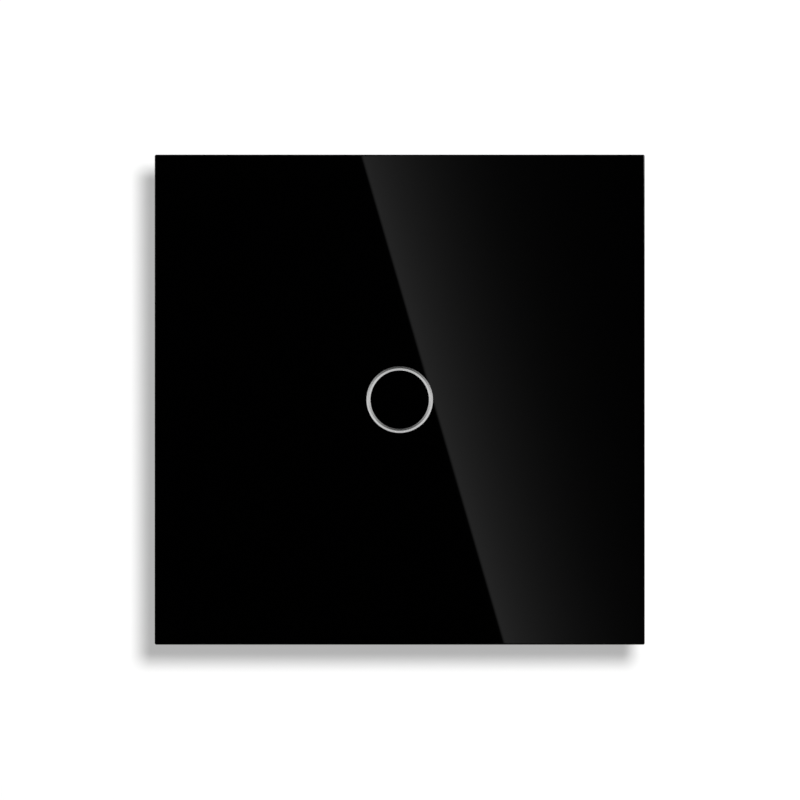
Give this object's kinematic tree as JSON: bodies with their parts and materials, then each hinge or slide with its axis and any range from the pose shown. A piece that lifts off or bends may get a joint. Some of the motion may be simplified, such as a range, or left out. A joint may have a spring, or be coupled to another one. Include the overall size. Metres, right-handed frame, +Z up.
{
  "type": "touch light switch",
  "caption": "Square black glass touch switch with a pale touch ring; the panel clips onto a wall module with relay, boards and screw terminals.",
  "frame": {"origin": "centre of the switch on the wall plane, where the mounting plate meets the wall", "axes": "+Z up, +Y into the wall, so the glass faces -Y, +X to the right seen from the front"},
  "size_m": [0.08, 0.0324, 0.08],
  "materials": {
    "black_glass": "polished, coated black behind",
    "ring_silver": "half-silvered, satin",
    "tape_black": "matt",
    "carrier_black": "fine spark texture",
    "spring_steel": "rolled",
    "plate_zinc": "zinc plated",
    "cover_white": "fine spark texture",
    "guide_clear": "polished",
    "seal_foam": "matt foam",
    "board_green": "solder mask",
    "pad_copper": "etched",
    "led_white": "satin",
    "chip_black": "moulded",
    "small_grey": "satin",
    "header_black": "moulded",
    "pin_brass": "plated",
    "relay_base_black": "moulded",
    "relay_case_blue": "moulded",
    "yoke_steel": "plated",
    "coil_red": "varnished wire",
    "contact_copper": "stamped",
    "armature_steel": "plated",
    "cap_yellow": "moulded",
    "can_aluminium": "drawn",
    "disc_blue": "dipped",
    "fuse_brass": "plated",
    "choke_black": "ferrite",
    "terminal_black": "moulded",
    "tongue_copper": "stamped",
    "screw_zinc": "zinc plated",
    "cage_brass": "formed",
    "housing_grey": "fine spark texture",
    "body_screw_steel": "zinc plated"
  },
  "bodies": {
    "base": {"mounting_plate": "plate_zinc", "front_cover": "cover_white", "light_guide": "guide_clear", "light_seal": "seal_foam", "touch_board": "board_green", "touch_pad": "pad_copper", "indicator_leds": "led_white", "touch_chip": "chip_black", "small_parts": "small_grey", "header_body": "header_black", "header_pins": "pin_brass", "power_board": "board_green", "relay_base": "relay_base_black", "relay_case": "relay_case_blue", "relay_yoke": "yoke_steel", "relay_coil": "coil_red", "relay_coil_pins": "pin_brass", "relay_contact": "contact_copper", "film_capacitor": "cap_yellow", "electrolytic_capacitor": "can_aluminium", "varistor": "disc_blue", "fuse": "fuse_brass", "choke": "choke_black", "rectifier": "chip_black", "terminal_block": "terminal_black", "terminal_tongues": "tongue_copper", "rear_housing": "housing_grey", "body_screws": "body_screw_steel"},
    "panel": {"glass_panel": "black_glass", "indicator_ring": "ring_silver", "adhesive_tape": "tape_black", "carrier_frame": "carrier_black", "panel_clips": "spring_steel"},
    "armature": {"relay_armature": "armature_steel"},
    "screw_1": {"terminal_screw_1": "screw_zinc"},
    "cage_1": {"terminal_cage_1": "cage_brass"},
    "screw_2": {"terminal_screw_2": "screw_zinc"},
    "cage_2": {"terminal_cage_2": "cage_brass"},
    "screw_3": {"terminal_screw_3": "screw_zinc"},
    "cage_3": {"terminal_cage_3": "cage_brass"}
  },
  "joints": [
    {"name": "panel_pull", "type": "slide", "parent": "base", "child": "panel", "axis": [0, -1, 0], "range_m": [0, 0.04], "deforming": ["panel_clips"]},
    {"name": "relay_armature_swing", "type": "hinge", "parent": "base", "child": "armature", "pos_m": [-0.0148, 0.0144, -0.00235], "axis": [0, 0, -1], "range_deg": [0, 4], "stiffness_Nm_per_rad": 0.002, "springref_deg": -5.73},
    {"name": "terminal_screw_1_turn", "type": "hinge", "parent": "base", "child": "screw_1", "pos_m": [-0.0086, 0.0195, -0.0175], "axis": [0, -1, 0], "range_deg": [0, 1800]},
    {"name": "terminal_cage_1_rise", "type": "slide", "parent": "base", "child": "cage_1", "axis": [0, 1, 0], "range_m": [0, 0.0025]},
    {"name": "terminal_screw_2_turn", "type": "hinge", "parent": "base", "child": "screw_2", "pos_m": [0, 0.0195, -0.0175], "axis": [0, -1, 0], "range_deg": [0, 1800]},
    {"name": "terminal_cage_2_rise", "type": "slide", "parent": "base", "child": "cage_2", "axis": [0, 1, 0], "range_m": [0, 0.0025]},
    {"name": "terminal_screw_3_turn", "type": "hinge", "parent": "base", "child": "screw_3", "pos_m": [0.0086, 0.0195, -0.0175], "axis": [0, -1, 0], "range_deg": [0, 1800]},
    {"name": "terminal_cage_3_rise", "type": "slide", "parent": "base", "child": "cage_3", "axis": [0, 1, 0], "range_m": [0, 0.0025]}
  ],
  "couplings": [
    {"joint": "terminal_screw_1_turn", "follows": "terminal_cage_1_rise", "rad_per_m": 12566},
    {"joint": "terminal_screw_2_turn", "follows": "terminal_cage_2_rise", "rad_per_m": 12566},
    {"joint": "terminal_screw_3_turn", "follows": "terminal_cage_3_rise", "rad_per_m": 12566}
  ]
}
